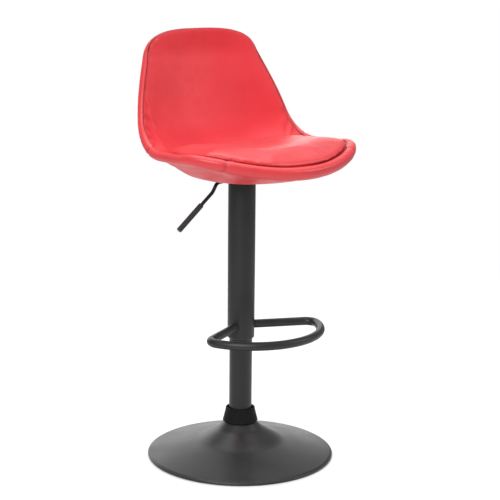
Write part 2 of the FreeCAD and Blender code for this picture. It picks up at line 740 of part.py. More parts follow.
lever_points = [
    pivot + V(pivot.x * -1.0 + 5.0, 0, 0),
    pivot + V(-10.0, 0, 0),
    pivot + V(-50.0, 0, -3.0),
    pivot + V(-61.5, 0, -22.0),
    pivot + V(-91.0, 0, -46.0),
]
lever_points[0].z = pivot.z
grip_way = (lever_points[4] - lever_points[3]).normalize()
grip_start = lever_points[4]
lever_end = grip_start + grip_way * (N["grip_length"] - 6.0)
lever_path = bent_path(lever_points[:4] + [lever_end], [40.0, 14.0, 22.0])
lever_profile = Part.Wire(
    Part.Circle(lever_points[0], V(1, 0, 0), N["lever_radius"]).toShape())
lever_rod = lever_path.makePipeShell([lever_profile], True, True)
lever_rod = Part.Solid(lever_rod.Shells[0]) if not lever_rod.Solids else lever_rod.Solids[0]
pin_hole = Part.makeCylinder(N["pivot_radius"] + N["slide_clearance"], 30,
                             V(pivot.x, -15, pivot.z), V(0, 1, 0))
lever_rod = lever_rod.cut(pin_hole).Solids[0]
solid_node("lever_rod", lever_rod)

grip = Part.makeCylinder(N["grip_radius"], N["grip_length"], grip_start, grip_way)
ends = [e for e in grip.Edges if isinstance(e.Curve, Part.Circle)]
grip = grip.makeFillet(1.6, ends)
grip = grip.cut(Part.makeCylinder(N["lever_radius"] + N["seat_clearance"],
                                  N["grip_length"] - 5.9, grip_start - grip_way * 0.01,
                                  grip_way))
solid_node("lever_grip", grip)


# ---------------------------------------------------------------- seat surfaces
class SeatForm:
    """The seat's curved sheet: a rim line seen from the side, its half width and its bowl."""

    def __init__(self):
        self.turn = math.radians(90.0 - N["back_lean"])
        self.bend = N["bend_radius"] * self.turn
        self.length = N["seat_flat"] + self.bend + N["back_length"]
        stations = [0.0, 0.2, 0.45, 0.7, 1.0]
        widths = [N[k] for k in ("half_front", "half_seat", "half_bend", "half_back",
                                 "half_top")]
        self.stations = [s * self.length for s in stations]
        self.widths = widths
        self.middle = N["half_seat"]
        self.rim_height = (N["plate_bottom"] - N["plate_recess"] + N["shell_thickness"] / 2
                           + N["skin_gap"] + N["cover_thickness"] + N["outer_depth"])

    def rim(self, s):
        """Side view of the rim: forward, height and the normal that faces the sitter."""
        flat = N["seat_flat"]
        r = N["bend_radius"]
        f0 = N["seat_front"]
        z0 = self.rim_height
        if s <= flat:
            f = f0 - s
            z = z0
            normal = (0.0, 1.0)
        else:
            a = min((s - flat) / r, self.turn)
            f = f0 - flat - r * math.sin(a)
            z = z0 + r * (1.0 - math.cos(a))
            normal = (math.sin(a), math.cos(a))
            beyond = s - flat - self.bend
            if beyond > 0:
                f -= beyond * math.cos(a)
                z += beyond * math.sin(a)
        near = 1.0 - s / N["front_round"]
        if near > 0:
            z -= N["front_drop"] * near * near
        return f, z, normal

    def half(self, s):
        """Half width before its ends are rounded, a smooth curve through the stations."""
        xs = self.stations
        ys = self.widths
        s = min(max(s, xs[0]), xs[-1])
        i = 0
        while i < len(xs) - 2 and s > xs[i + 1]:
            i += 1
        slopes = []
        for j in (i, i + 1):
            lo = max(j - 1, 0)
            hi = min(j + 1, len(xs) - 1)
            slopes.append((ys[hi] - ys[lo]) / (xs[hi] - xs[lo]))
        h = xs[i + 1] - xs[i]
        t = (s - xs[i]) / h
        a = (1 + 2 * t) * (1 - t) ** 2
        b = t * (1 - t) ** 2
        c = t * t * (3 - 2 * t)
        d = t * t * (t - 1)
        return a * ys[i] + b * h * slopes[0] + c * ys[i + 1] + d * h * slopes[1]

    def fullness(self, s):
        """Square of the rounded half width; it runs on below zero past either end."""
        near = 1.0 - s / N["bowl_round"]
        top = 1.0 - (self.length - s) / (N["top_round"] * 1.25)
        ends = 1.0
        if near > 0:
            ends *= 1.0 - near ** 2
        if top > 0:
            ends *= 1.0 - top ** 2
        return self.half(s) ** 2 * ends

    def edge(self, s):
        """Half width of the outline."""
        near = min(max(1.0 - s / N["front_round"], 0.0), 1.0)
        top = min(max(1.0 - (self.length - s) / N["top_round"], 0.0), 1.0)
        front = (1.0 - near ** 1.8) ** (1 / 1.8)
        return self.half(s) * front * (1.0 - top ** 2.7) ** (1 / 2.7)

    def point(self, s, x, off, depth, flatness=1.0):
        """A point off the sheet, toward the sitter, with the bowl this deep."""
        f, z, normal = self.rim(s)
        share = (self.fullness(s) - x * x) / self.middle ** 2
        if flatness != 1.0:
            share = 1.0 - max(0.0, 1.0 - share) ** flatness
        sink = depth * share
        k = off - sink
        return V(x, -(f + normal[0] * k), z + normal[1] * k)

    def outline(self, inset, count=72):
        """The rounded outline as (s, x), moved inward by inset, counted from the front."""
        right = []
        for i in range(count + 1):
            t = 0.5 - 0.5 * math.cos(math.pi * i / count)
            s = t * self.length
            right.append((s, self.edge(s)))
        loop = right[:-1] + [(s, -x) for s, x in reversed(right)][:-1]
        moved = []
        n = len(loop)
        for i in range(n):
            a = loop[i - 1]
            b = loop[(i + 1) % n]
            size = math.hypot(b[0] - a[0], b[1] - a[1])
            inward = ((b[1] - a[1]) / size, -(b[0] - a[0]) / size)
            moved.append((loop[i][0] + inward[0] * inset, loop[i][1] + inward[1] * inset))
        return moved


form = SeatForm()


def sheet_face(offset_at, depth, s_range, x_range, n_s, n_x, flatness=1.0):
    grid = []
    for i in range(n_s):
        s = s_range[0] + (s_range[1] - s_range[0]) * i / (n_s - 1)
        row = []
        for j in range(n_x):
            x = x_range[0] + (x_range[1] - x_range[0]) * j / (n_x - 1)
            row.append(form.point(s, x, offset_at(s, x), depth, flatness))
        grid.append(row)
    surface = Part.BSplineSurface()
    surface.interpolate(grid)
    return surface.toShape()


def slab(low, high, low_depth, high_depth, s_range, x_range, n_s=31, n_x=19, flatness=1.0):
    """A closed solid between two curved sheets over one rectangle."""
    bottom = sheet_face(low, low_depth, s_range, x_range, n_s, n_x, flatness)
    top = sheet_face(high, high_depth, s_range, x_range, n_s, n_x)
    faces = [bottom, top]
    for k in range(4):
        below = bottom.Edges[k]
        middle = below.valueAt((below.FirstParameter + below.LastParameter) / 2)
        best = None
        for above in top.Edges:
            spot = above.valueAt((above.FirstParameter + above.LastParameter) / 2)
            gap = spot.distanceToPoint(middle)
            if best is None or gap < best[0]:
                best = (gap, above)
        faces.append(Part.makeRuledSurface(below, best[1]))
    shell = Part.Shell(Part.makeCompound(faces).Faces)
    shell.sewShape()
    solid = Part.Solid(shell)
    if solid.Volume < 0:
        solid.reverse()
    return solid


def fence(loop, low, high, depth):
    """A wall standing along the outline, square to the sheet."""
    bottom = [form.point(s, x, low, depth) for s, x in loop]
    top = [form.point(s, x, high, depth) for s, x in loop]
    curves = []
    for points in (bottom, top):
        curve = Part.BSplineCurve()
        curve.interpolate(Points=points, PeriodicFlag=True)
        curves.append(curve.toShape())
    return Part.makeRuledSurface(curves[0], curves[1])


def trimmed(solid, wall_face, inside):
    """The part of the solid that holds the point inside the fence."""
    pieces = SplitAPI.slice(solid, [wall_face], "Split").Solids
    for piece in pieces:
        if piece.isInside(inside, 0.01, True):
            return piece
    raise RuntimeError("the fence did not cut out the seat")


margin = 30.0
wide = max(form.widths) + margin
whole = (-margin, form.length + margin)
across = (-wide, wide)
half_shell = N["shell_thickness"] / 2
inner_loop = form.outline(N["roll_radius"] + 1.2)
seat_mid = N["seat_flat"] * 0.5
deep = N["bowl_depth"]
fence_low = -half_shell - 40.0
fence_face = fence(inner_loop, fence_low, 40.0, deep)

shell_slab = slab(lambda s, x: -half_shell, lambda s, x: half_shell, deep, deep, whole, across)
seat_shell = trimmed(shell_slab, fence_face, form.point(seat_mid, 0, 0, deep))
boss_radius = N["screw_radius"] + 5.0
plate_top = N["plate_bottom"] + N["plate_thickness"]
insert_radius = N["screw_radius"] + 1.5
insert_length = 8.0
bosses = []
for sx, sy in ((-1, -1), (1, -1), (1, 1), (-1, 1)):
    spot = V(sx * N["screw_across"], sy * N["screw_along"], plate_top + 0.02)
    bosses.append(Part.makeCylinder(boss_radius, 30.0, spot))
inside_half = trimmed(
    slab(lambda s, x: -60.0, lambda s, x: 0.0, deep, deep, whole, across),
    fence(inner_loop, -90.0, 40.0, deep), form.point(seat_mid, 0, -10, deep))
boss_set = Part.makeCompound([boss.common(inside_half) for boss in bosses])
seat_shell = seat_shell.fuse(boss_set.Solids)
for sx, sy in ((-1, -1), (1, -1), (1, 1), (-1, 1)):
    spot = V(sx * N["screw_across"], sy * N["screw_along"], plate_top - 1.0)
    seat_shell = seat_shell.cut(Part.makeCylinder(
        insert_radius + N["seat_clearance"], insert_length + 1.2, spot))
print("seat shell solids", len(seat_shell.Solids), "volume", round(seat_shell.Volume))
solid_node("seat_shell", seat_shell.Solids[0])

inserts = []
plate_screws = []
for sx, sy in ((-1, -1), (1, -1), (1, 1), (-1, 1)):
    spot = V(sx * N["screw_across"], sy * N["screw_along"], plate_top + 0.05)
    ring = Part.makeCylinder(insert_radius, insert_length, spot)
    inserts.append(ring.cut(Part.makeCylinder(N["screw_radius"] + 0.03, insert_length, spot)))
    shape = screw_shape(N["screw_radius"], N["plate_thickness"] + insert_length - 0.6,
                        N["screw_radius"] * 1.8, 3.3, 1.9)
    shape.rotate(V(0, 0, 0), V(1, 0, 0), 180)
    shape.translate(V(spot.x, spot.y, N["plate_bottom"] - 0.05))
    plate_screws.append(shape)
solid_node("threaded_inserts", Part.makeCompound(inserts))
solid_node("plate_screws", Part.makeCompound(plate_screws))

pad_low = half_shell + N["skin_gap"]
pad_high = pad_low + N["pad_thickness"]
pad = trimmed(slab(lambda s, x: pad_low, lambda s, x: pad_high, deep, deep, whole, across),
              fence_face, form.point(seat_mid, 0, (pad_low + pad_high) / 2, deep))
solid_node("inner_padding", pad)

cover_low = half_shell + N["skin_gap"]
outer_off = cover_low + N["cover_thickness"]
outer_slab = slab(lambda s, x: -outer_off, lambda s, x: -cover_low, N["outer_depth"], deep,
                  whole, across, flatness=1.45)
probe = form.point(N["seat_flat"] * 0.5, 110.0, -cover_low - 1.5, deep)
outer = trimmed(outer_slab, fence(inner_loop, -90.0, 40.0, deep), probe)
pocket_gap = 4.0
pocket = Part.makeBox(N["plate_width"] + 2 * pocket_gap, N["plate_depth"] + 2 * pocket_gap,
                      N["outer_depth"] + 60,
                      V(-N["plate_width"] / 2 - pocket_gap, -N["plate_depth"] / 2 - pocket_gap,
                        N["plate_bottom"] - 30))
corners = [e for e in pocket.Edges if abs(e.tangentAt(e.FirstParameter).z) > 0.9]
pocket = pocket.makeFillet(16.0 + pocket_gap, corners)
outer = outer.cut(pocket)
outer_solids = sorted(outer.Solids, key=lambda s: s.Volume)
print("outer cover solids", len(outer_solids))
solid_node("outer_cover", outer_solids[-1])


def edge_roll():
    """The padded roll round the seat's edge: one half through rings, mirrored and joined."""
    count = 34
    rim = []
    for i in range(count * 8 + 1):
        t = 0.5 - 0.5 * math.cos(math.pi * i / (count * 8))
        s = t * form.length
        rim.append(form.point(s, form.edge(s), 0.0, deep))
    travelled = [0.0]
    for a, b in zip(rim, rim[1:]):
        travelled.append(travelled[-1] + a.distanceToPoint(b))
    stops = []
    k = 0
    for i in range(count + 1):
        want = travelled[-1] * i / count
        while k < len(rim) - 2 and travelled[k + 1] < want:
            k += 1
        part = (want - travelled[k]) / (travelled[k + 1] - travelled[k])
        stops.append(rim[k] + (rim[k + 1] - rim[k]) * part)
    grid = []
    for i, place in enumerate(stops):
        if i in (0, count):
            way = V(1, 0, 0) if i == 0 else V(-1, 0, 0)
        else:
            way = (stops[i + 1] - stops[i - 1]).normalize()
        out = place - V(0, -60, form.rim_height + 79)
        side = (out - way * out.dot(way)).normalize()
        up = way.cross(side)
        row = []
        for k in range(17):
            a = 2 * math.pi * (k % 16) / 16
            row.append(place + side * (N["roll_radius"] * math.cos(a))
                       + up * (N["roll_radius"] * math.sin(a)))
        grid.append(row)
    surface = Part.BSplineSurface()
    surface.interpolate(grid)
    tube = surface.toShape()
    caps = []
    for edge in tube.Edges:
        box = edge.BoundBox
        if box.XLength < 0.01:
            caps.append(Part.Face(Part.Wire(edge)))
    shell = Part.Shell([tube] + caps)
    shell.sewShape()
    half = Part.Solid(shell)
    if half.Volume < 0:
        half.reverse()
    roll = half.fuse(half.mirror(V(0, 0, 0), V(1, 0, 0)))
    area = math.pi * N["roll_radius"] ** 2
    print("roll caps", len(caps), "volume", round(roll.Volume), "path x section",
          round(2 * travelled[-1] * area))
    return roll.Solids[0]


solid_node("edge_roll", edge_roll())


def cushion_solid():
    """The domed seat cushion, a crowned solid on the inner padding."""
    front = N["cushion_front"]
    back = N["cushion_back"]
    mid = (front + back) / 2
    reach = (back - front) / 2
    half = N["cushion_half"]
    base = pad_high + N["skin_gap"]

    def radius_at(s, x):
        return math.hypot((s - mid) / reach, x / half)

    tail = 0.6 * N["cushion_edge"] / N["cushion_crown"]

    def crown(s, x):
        rise = 1.0 - radius_at(s, x) ** 2.4
        if rise < 0:
            rise = -tail * math.tanh(-rise / tail)
        return base + N["cushion_edge"] + N["cushion_crown"] * rise

    window = (front - 14.0, back + 14.0)
    side = (-half - 14.0, half + 14.0)
    block = slab(lambda s, x: base, crown, deep, deep, window, side, 41, 41)
    loop = []
    for i in range(64):
        a = 2 * math.pi * i / 64
        c = math.cos(a)
        s = math.sin(a)
        power = 2.0 / 2.5
        loop.append((mid - reach * math.copysign(abs(c) ** power, c),
                     half * math.copysign(abs(s) ** power, s)))
    return trimmed(block, fence(loop, 0.0, 90.0, deep), form.point(mid, 0, base + 8.0, deep))


solid_node("seat_cushion", cushion_solid())

# ---------------------------------------------------------------- frame, checks and export
# the frame's origin lies on the floor under the middle of the stool's box, so the column
# stands behind it by half of what the seat's front reaches past the foot
shift = (S["seat_front"] + S["roll_radius"] - S["base_radius"]) * 0.5
for obj in nodes:
    base = obj.Placement.Base
    place = shift + base.y
    obj.Placement.Base = V(base.x, place.value, base.z)
    obj.setExpression("Placement.Base.y", place.text)
print("the column's axis is at y", shift.value)
doc.recompute()
os.makedirs("parts", exist_ok=True)
for obj in doc.Objects:
    for state in obj.State:
        if state in ("Invalid", "Error"):
            raise RuntimeError("%s is %s" % (obj.Label, state))
for obj in nodes:
    shape = obj.Shape
    if shape.isNull() or not shape.isValid() or not shape.Solids:
        raise RuntimeError("bad shape: " + obj.Label)
    shape.exportStep("parts/%s.step" % obj.Label)
    box = shape.optimalBoundingBox(False)
    print("%-18s solids %2d  vol %10.1f  x %7.1f %7.1f  y %7.1f %7.1f  z %7.1f %7.1f" % (
        obj.Label, len(shape.Solids), shape.Volume, box.XMin, box.XMax, box.YMin, box.YMax,
        box.ZMin, box.ZMax))
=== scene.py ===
import math

import bmesh
import bpy
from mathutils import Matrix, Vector, noise


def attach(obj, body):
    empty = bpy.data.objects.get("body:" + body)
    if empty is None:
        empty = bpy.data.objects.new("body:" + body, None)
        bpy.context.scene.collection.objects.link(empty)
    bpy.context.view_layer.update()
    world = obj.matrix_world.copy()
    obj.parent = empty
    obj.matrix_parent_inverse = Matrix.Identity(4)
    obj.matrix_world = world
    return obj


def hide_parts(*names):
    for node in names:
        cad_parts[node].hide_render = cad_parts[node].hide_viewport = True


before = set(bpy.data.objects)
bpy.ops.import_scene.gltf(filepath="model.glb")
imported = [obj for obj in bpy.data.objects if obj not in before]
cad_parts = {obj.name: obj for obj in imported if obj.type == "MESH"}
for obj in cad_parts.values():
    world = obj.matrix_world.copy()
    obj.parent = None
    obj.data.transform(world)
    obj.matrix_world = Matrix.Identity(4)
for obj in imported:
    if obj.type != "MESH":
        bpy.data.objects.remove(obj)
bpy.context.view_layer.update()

# ------------------------------------------------------------------ seat sizes, in metres
COLUMN_Y = 0.005
SEAT_FRONT = 0.206
SEAT_FLAT = 0.213
BEND_RADIUS = 0.094
BACK_LEAN = math.radians(20.5)
BACK_LENGTH = 0.188
WIDTHS = (0.218, 0.213, 0.209, 0.186, 0.126)
STATIONS = (0.0, 0.2, 0.45, 0.7, 1.0)
FRONT_ROUND = 0.120
BOWL_ROUND = 0.170
TOP_ROUND = 0.047
FRONT_DROP = 0.025
BOWL_DEPTH = 0.044
OUTER_DEPTH = 0.061
RIM_HEIGHT = 0.684
TURN = math.pi / 2 - BACK_LEAN
BEND = BEND_RADIUS * TURN
LENGTH = SEAT_FLAT + BEND + BACK_LENGTH


def rim(s):
    """Side view of the seat's rim: forward, height and the normal that faces the sitter."""
    a = min(max((s - SEAT_FLAT) / BEND_RADIUS, 0.0), TURN)
    f = SEAT_FRONT - min(s, SEAT_FLAT) - BEND_RADIUS * math.sin(a)
    z = RIM_HEIGHT + BEND_RADIUS * (1.0 - math.cos(a))
    beyond = max(s - SEAT_FLAT - BEND, 0.0)
    f -= beyond * math.cos(a)
    z += beyond * math.sin(a)
    near = max(1.0 - s / FRONT_ROUND, 0.0)
    return f, z - FRONT_DROP * near * near, (math.sin(a), math.cos(a))


def half(s):
    """Half width along the seat, a smooth curve through the stations."""
    xs = [k * LENGTH for k in STATIONS]
    s = min(max(s, 0.0), LENGTH)
    i = 0
    while i < len(xs) - 2 and s > xs[i + 1]:
        i += 1
    slopes = []
    for j in (i, i + 1):
        lo, hi = max(j - 1, 0), min(j + 1, len(xs) - 1)
        slopes.append((WIDTHS[hi] - WIDTHS[lo]) / (xs[hi] - xs[lo]))
    h = xs[i + 1] - xs[i]
    t = (s - xs[i]) / h
    return ((1 + 2 * t) * (1 - t) ** 2 * WIDTHS[i] + t * (1 - t) ** 2 * h * slopes[0]
            + t * t * (3 - 2 * t) * WIDTHS[i + 1] + t * t * (t - 1) * h * slopes[1])


def fullness(s):
    near = max(1.0 - s / BOWL_ROUND, 0.0)
    top = max(1.0 - (LENGTH - s) / (TOP_ROUND * 1.25), 0.0)
    return half(s) ** 2 * (1.0 - near ** 2) * (1.0 - top ** 2)


def edge(s):
    """Half width of the seat's outline."""
    near = min(max(1.0 - s / FRONT_ROUND, 0.0), 1.0)
    top = min(max(1.0 - (LENGTH - s) / TOP_ROUND, 0.0), 1.0)
    return half(s) * (1.0 - near ** 1.8) ** (1 / 1.8) * (1.0 - top ** 2.7) ** (1 / 2.7)


def on_seat(s, x, off, depth, flatness=1.0):
    """A point off the seat's curved sheet, toward the sitter."""
    f, z, normal = rim(s)
    share = (fullness(s) - x * x) / WIDTHS[1] ** 2
    if flatness != 1.0:
        share = 1.0 - max(0.0, 1.0 - share) ** flatness
    k = off - depth * share
    return Vector((x, COLUMN_Y - f - normal[0] * k, z + normal[1] * k))


def smooth(a, b, t):
    """An eased step from 0 at a to 1 at b."""
    t = min(max((t - a) / (b - a), 0.0), 1.0)
    return t * t * (3.0 - 2.0 * t)


# ------------------------------------------------------------------ materials
def material(name, build):
    """A node material whose shader is filled in by build."""
    m = bpy.data.materials.new(name)
    m.use_nodes = True
    nodes, links = m.node_tree.nodes, m.node_tree.links
    shader = nodes["Principled BSDF"]
    build(nodes, links, shader)
    return m


def texture(nodes, links, kind, coords, **values):
    """A procedural texture node with its sockets and settings filled in."""
    node = nodes.new("ShaderNodeTex" + kind)
    for key, value in values.items():
        if key in node.inputs:
            node.inputs[key].default_value = value
        else:
            setattr(node, key, value)
    links.new(coords, node.inputs["Vector"])
    return node


def spread(nodes, links, source, low, high, colour_low, colour_high):
    """A colour ramp between two colours, driven by a texture."""
    ramp = nodes.new("ShaderNodeValToRGB")
    ramp.color_ramp.elements[0].position = low
    ramp.color_ramp.elements[1].position = high
    ramp.color_ramp.elements[0].color = (*colour_low, 1.0)
    ramp.color_ramp.elements[1].color = (*colour_high, 1.0)
    links.new(source, ramp.inputs["Fac"])
    return ramp


def range_of(nodes, links, source, low, high, out_low, out_high):
    """A value carried from one range to another."""
    node = nodes.new("ShaderNodeMapRange")
    for key, value in (("From Min", low), ("From Max", high),
                       ("To Min", out_low), ("To Max", out_high)):
        node.inputs[key].default_value = value
    links.new(source, node.inputs["Value"])
    return node.outputs["Result"]


def bumped(nodes, links, shader, layers):
    """Chains bump layers of (height, strength, distance) into the shader's normal."""
    last = None
    for height, strength, distance in layers:
        bump = nodes.new("ShaderNodeBump")
        bump.inputs["Strength"].default_value = strength
        bump.inputs["Distance"].default_value = distance
        links.new(height, bump.inputs["Height"])
        if last is not None:
            links.new(last.outputs["Normal"], bump.inputs["Normal"])
        last = bump
    links.new(last.outputs["Normal"], shader.inputs["Normal"])


def leather(name, low, high, rough, shine=0.42):
    """Soft coated leather: fine pebble grain, faint creases and slow colour drift, with painted shade
    in its seam grooves and creases.
    """
    def build(nodes, links, shader):
        coords = nodes.new("ShaderNodeTexCoord").outputs["Object"]
        drift = texture(nodes, links, "Noise", coords, Scale=9.0, Detail=3.0, Roughness=0.5)
        pebble = texture(nodes, links, "Voronoi", coords, Scale=950.0, feature="SMOOTH_F1")
        fine = texture(nodes, links, "Noise", coords, Scale=2600.0, Detail=2.0)
        crease = texture(nodes, links, "Noise", coords, Scale=70.0, Detail=4.0, Roughness=0.6,
                         Distortion=0.6)
        colour = spread(nodes, links, drift.outputs["Fac"], 0.32, 0.68, low, high)
        # painted shade: the mesh's seam attribute mixes the colour toward a deep dark red in seam
        # grooves and creases, where shade falls
        seam = nodes.new("ShaderNodeAttribute")
        seam.attribute_name = "seam"
        shaded = nodes.new("ShaderNodeMix")
        shaded.data_type = "RGBA"
        links.new(seam.outputs["Fac"], shaded.inputs[0])
        links.new(colour.outputs["Color"], shaded.inputs[6])
        shaded.inputs[7].default_value = (low[0] * 0.22, low[1] * 0.30, low[2] * 0.30, 1.0)
        links.new(shaded.outputs[2], shader.inputs["Base Color"])
        gloss = range_of(nodes, links, crease.outputs["Fac"], 0.3, 0.7, rough - 0.04,
                         rough + 0.05)
        links.new(gloss, shader.inputs["Roughness"])
        shader.inputs["Specular IOR Level"].default_value = shine
        shader.inputs["Sheen Weight"].default_value = 0.05
        shader.inputs["Sheen Roughness"].default_value = 0.45
        shader.inputs["Sheen Tint"].default_value = (1.0, 0.62, 0.62, 1.0)
        bumped(nodes, links, shader, [
            (crease.outputs["Fac"], 0.10, 0.0012),
            (pebble.outputs["Distance"], 0.16, 0.00035),
            (fine.outputs["Fac"], 0.06, 0.0002)])
    return material(name, build)


def powder_coat(name, shade, rough, grain=1400.0, depth=0.00025):
    """Matt powder-coated steel: an orange-peel skin with faint rubbed patches."""
    def build(nodes, links, shader):
        coords = nodes.new("ShaderNodeTexCoord").outputs["Object"]
        peel = texture(nodes, links, "Noise", coords, Scale=grain, Detail=2.0, Roughness=0.55)
        wear = texture(nodes, links, "Noise", coords, Scale=14.0, Detail=5.0, Roughness=0.62)
        colour = spread(nodes, links, wear.outputs["Fac"], 0.30, 0.72,
                        [c * 0.86 for c in shade], [c * 1.16 for c in shade])
        links.new(colour.outputs["Color"], shader.inputs["Base Color"])
        gloss = range_of(nodes, links, wear.outputs["Fac"], 0.3, 0.7, rough - 0.05, rough + 0.06)
        links.new(gloss, shader.inputs["Roughness"])
        shader.inputs["Metallic"].default_value = 0.0
        shader.inputs["Specular IOR Level"].default_value = 0.38
        bumped(nodes, links, shader, [(peel.outputs["Fac"], 0.35, depth)])
    return material(name, build)


def moulded(name, shade, rough, scale, depth, strength, shine=0.5):
    """Moulded plastic or rubber with a spark-eroded texture."""
    def build(nodes, links, shader):
        coords = nodes.new("ShaderNodeTexCoord").outputs["Object"]
        cells = texture(nodes, links, "Voronoi", coords, Scale=scale, feature="SMOOTH_F1")
        cloud = texture(nodes, links, "Noise", coords, Scale=scale * 0.22, Detail=4.0)
        colour = spread(nodes, links, cloud.outputs["Fac"], 0.3, 0.7,
                        [c * 0.8 for c in shade], [c * 1.25 for c in shade])
        links.new(colour.outputs["Color"], shader.inputs["Base Color"])
        gloss = range_of(nodes, links, cells.outputs["Distance"], 0.0, 0.7, rough - 0.06,
                         rough + 0.08)
        links.new(gloss, shader.inputs["Roughness"])
        shader.inputs["Specular IOR Level"].default_value = shine
        bumped(nodes, links, shader, [(cells.outputs["Distance"], strength, depth)])
    return material(name, build)


def bare_metal(name, colour_value, rough, stretch=(1.0, 1.0, 40.0)):
    """Turned or rolled metal with fine tool marks."""
    def build(nodes, links, shader):
        coords = nodes.new("ShaderNodeTexCoord").outputs["Object"]
        mapping = nodes.new("ShaderNodeMapping")
        mapping.inputs["Scale"].default_value = stretch
        links.new(coords, mapping.inputs["Vector"])
        marks = texture(nodes, links, "Noise", mapping.outputs["Vector"], Scale=60.0, Detail=6.0)
        tone = spread(nodes, links, marks.outputs["Fac"], 0.3, 0.7,
                      [c * 0.82 for c in colour_value], colour_value)
        links.new(tone.outputs["Color"], shader.inputs["Base Color"])
        shader.inputs["Metallic"].default_value = 1.0
        gloss = range_of(nodes, links, marks.outputs["Fac"], 0.3, 0.7, rough - 0.06, rough + 0.08)
        links.new(gloss, shader.inputs["Roughness"])
        bumped(nodes, links, shader, [(marks.outputs["Fac"], 0.15, 0.0001)])
    return material(name, build)


# The pad and roll leather has paler green and blue than the lining and underside: a painted sheen for
# the glossy highlight on the lit pad and roll.
red_leather = leather("red_leather", (0.56, 0.034, 0.042), (0.63, 0.044, 0.052), 0.38)
red_lining = leather("red_lining", (0.58, 0.020, 0.029), (0.64, 0.026, 0.037), 0.50, 0.32)
red_underside = leather("red_underside", (0.58, 0.016, 0.024), (0.64, 0.022, 0.030), 0.46)
black_coat = powder_coat("black_coat", (0.014, 0.014, 0.015), 0.42)
foot_coat = powder_coat("foot_coat", (0.021, 0.021, 0.022), 0.37, 1100.0, 0.0003)
collar_plastic = moulded("collar_plastic", (0.004, 0.004, 0.005), 0.62, 300.0, 0.0020, 1.0, 0.16)
grip_rubber = moulded("grip_rubber", (0.016, 0.016, 0.017), 0.55, 900.0, 0.0003, 0.5)
nylon_black = moulded("nylon_black", (0.030, 0.030, 0.032), 0.40, 700.0, 0.0002, 0.3)
rubber_black = moulded("rubber_black", (0.018, 0.018, 0.018), 0.70, 600.0, 0.0003, 0.4)
shell_plastic = moulded("shell_plastic", (0.045, 0.045, 0.047), 0.48, 500.0, 0.0003, 0.3)
raw_steel = bare_metal("raw_steel", (0.60, 0.60, 0.61), 0.30)
zinc_screw = bare_metal("zinc_screw", (0.52, 0.53, 0.55), 0.36, (1.0, 1.0, 1.0))
alloy = bare_metal("alloy", (0.72, 0.73, 0.74), 0.34)
brass = bare_metal("brass", (0.72, 0.52, 0.24), 0.32)

FINISHES = {
    "base_shell": foot_coat, "floor_ring": rubber_black, "ballast_plate": raw_steel,
    "base_hub": raw_steel, "base_screws": zinc_screw, "base_collar": collar_plastic,
    "lower_tube": black_coat, "guide_bush": nylon_black, "bearing_plate": raw_steel,
    "lower_race": raw_steel, "bearing_cage": brass, "bearing_balls": raw_steel,
    "upper_race": raw_steel, "rubber_buffer": rubber_black, "piston_rod": raw_steel,
    "rod_washer": zinc_screw, "retaining_clip": raw_steel, "piston": alloy,
    "gas_cylinder": black_coat, "cover_tube": black_coat, "slide_bush": nylon_black,
    "taper_socket": raw_steel, "footrest_ring": black_coat, "seat_plate": black_coat,
    "pivot_bracket": black_coat, "lever_pin": zinc_screw, "seat_shell": shell_plastic,
    "threaded_inserts": brass, "plate_screws": zinc_screw, "lever_rod": black_coat,
    "lever_grip": grip_rubber, "valve_pin": raw_steel, "inner_padding": red_leather,
    "outer_cover": red_underside, "edge_roll": red_leather, "seat_cushion": red_leather,
}
for node_name, node_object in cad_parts.items():
    node_object.data.materials.clear()
    node_object.data.materials.append(FINISHES[node_name])


# ------------------------------------------------------------------ mesh helpers
def finished(name, bm, mat, body, stands_for=()):
    """Turns a bmesh into a piece that rides on a body."""
    mesh = bpy.data.meshes.new(name)
    bm.to_mesh(mesh)
    bm.free()
    obj = bpy.data.objects.new(name, mesh)
    bpy.context.scene.collection.objects.link(obj)
    mesh.materials.append(mat)
    for face in mesh.polygons:
        face.use_smooth = True
    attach(obj, body)
    if stands_for:
        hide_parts(*stands_for)
    return obj


RIM_STEPS = 288


def rim_points():
    """Evenly spaced stations round the outline as (s, x), from the front, turning right."""
    fine = 1600
    right = []
    for i in range(fine + 1):
        s = (0.5 - 0.5 * math.cos(math.pi * i / fine)) * LENGTH
        right.append((s, edge(s)))
    travelled = [0.0]
    places = [on_seat(s, x, 0.0, BOWL_DEPTH) for s, x in right]
    for a, b in zip(places, places[1:]):
        travelled.append(travelled[-1] + (b - a).length)
    stops = []
    k = 0
    for i in range(RIM_STEPS // 2 + 1):
        want = travelled[-1] * i / (RIM_STEPS // 2)
        while k < fine - 1 and travelled[k + 1] < want:
            k += 1
        t = (want - travelled[k]) / (travelled[k + 1] - travelled[k])
        stops.append((right[k][0] + (right[k + 1][0] - right[k][0]) * t,
                      right[k][1] + (right[k + 1][1] - right[k][1]) * t))
    return stops + [(s, -x) for s, x in reversed(stops[1:-1])]


RIM = rim_points()
COUNT = len(RIM)


def wrapped(around, across, place, seam=None):
    """A grid bent to place(u, v), with its meeting edges and poles joined and the painted shade from
    seam(u, v) kept on its points.
    """
    bm = bmesh.new()
    bmesh.ops.create_grid(bm, x_segments=around, y_segments=across, size=0.5)
    # per-vertex painted shade for seam grooves and creases, read by the leather materials
    shade = bm.verts.layers.float.new("seam")
    for v in bm.verts:
        u, w = v.co.x + 0.5, v.co.y + 0.5
        v.co = place(u, w)
        v[shade] = seam(u, w) if seam else 0.0
    bmesh.ops.remove_doubles(bm, verts=bm.verts, dist=0.00002)
    bmesh.ops.recalc_face_normals(bm, faces=bm.faces)
    return bm


def solid_skin(obj, thickness):
    """Gives a sheet its thickness behind its face."""
    wall = obj.modifiers.new("thickness", "SOLIDIFY")
    wall.thickness = thickness
    wall.offset = -1.0


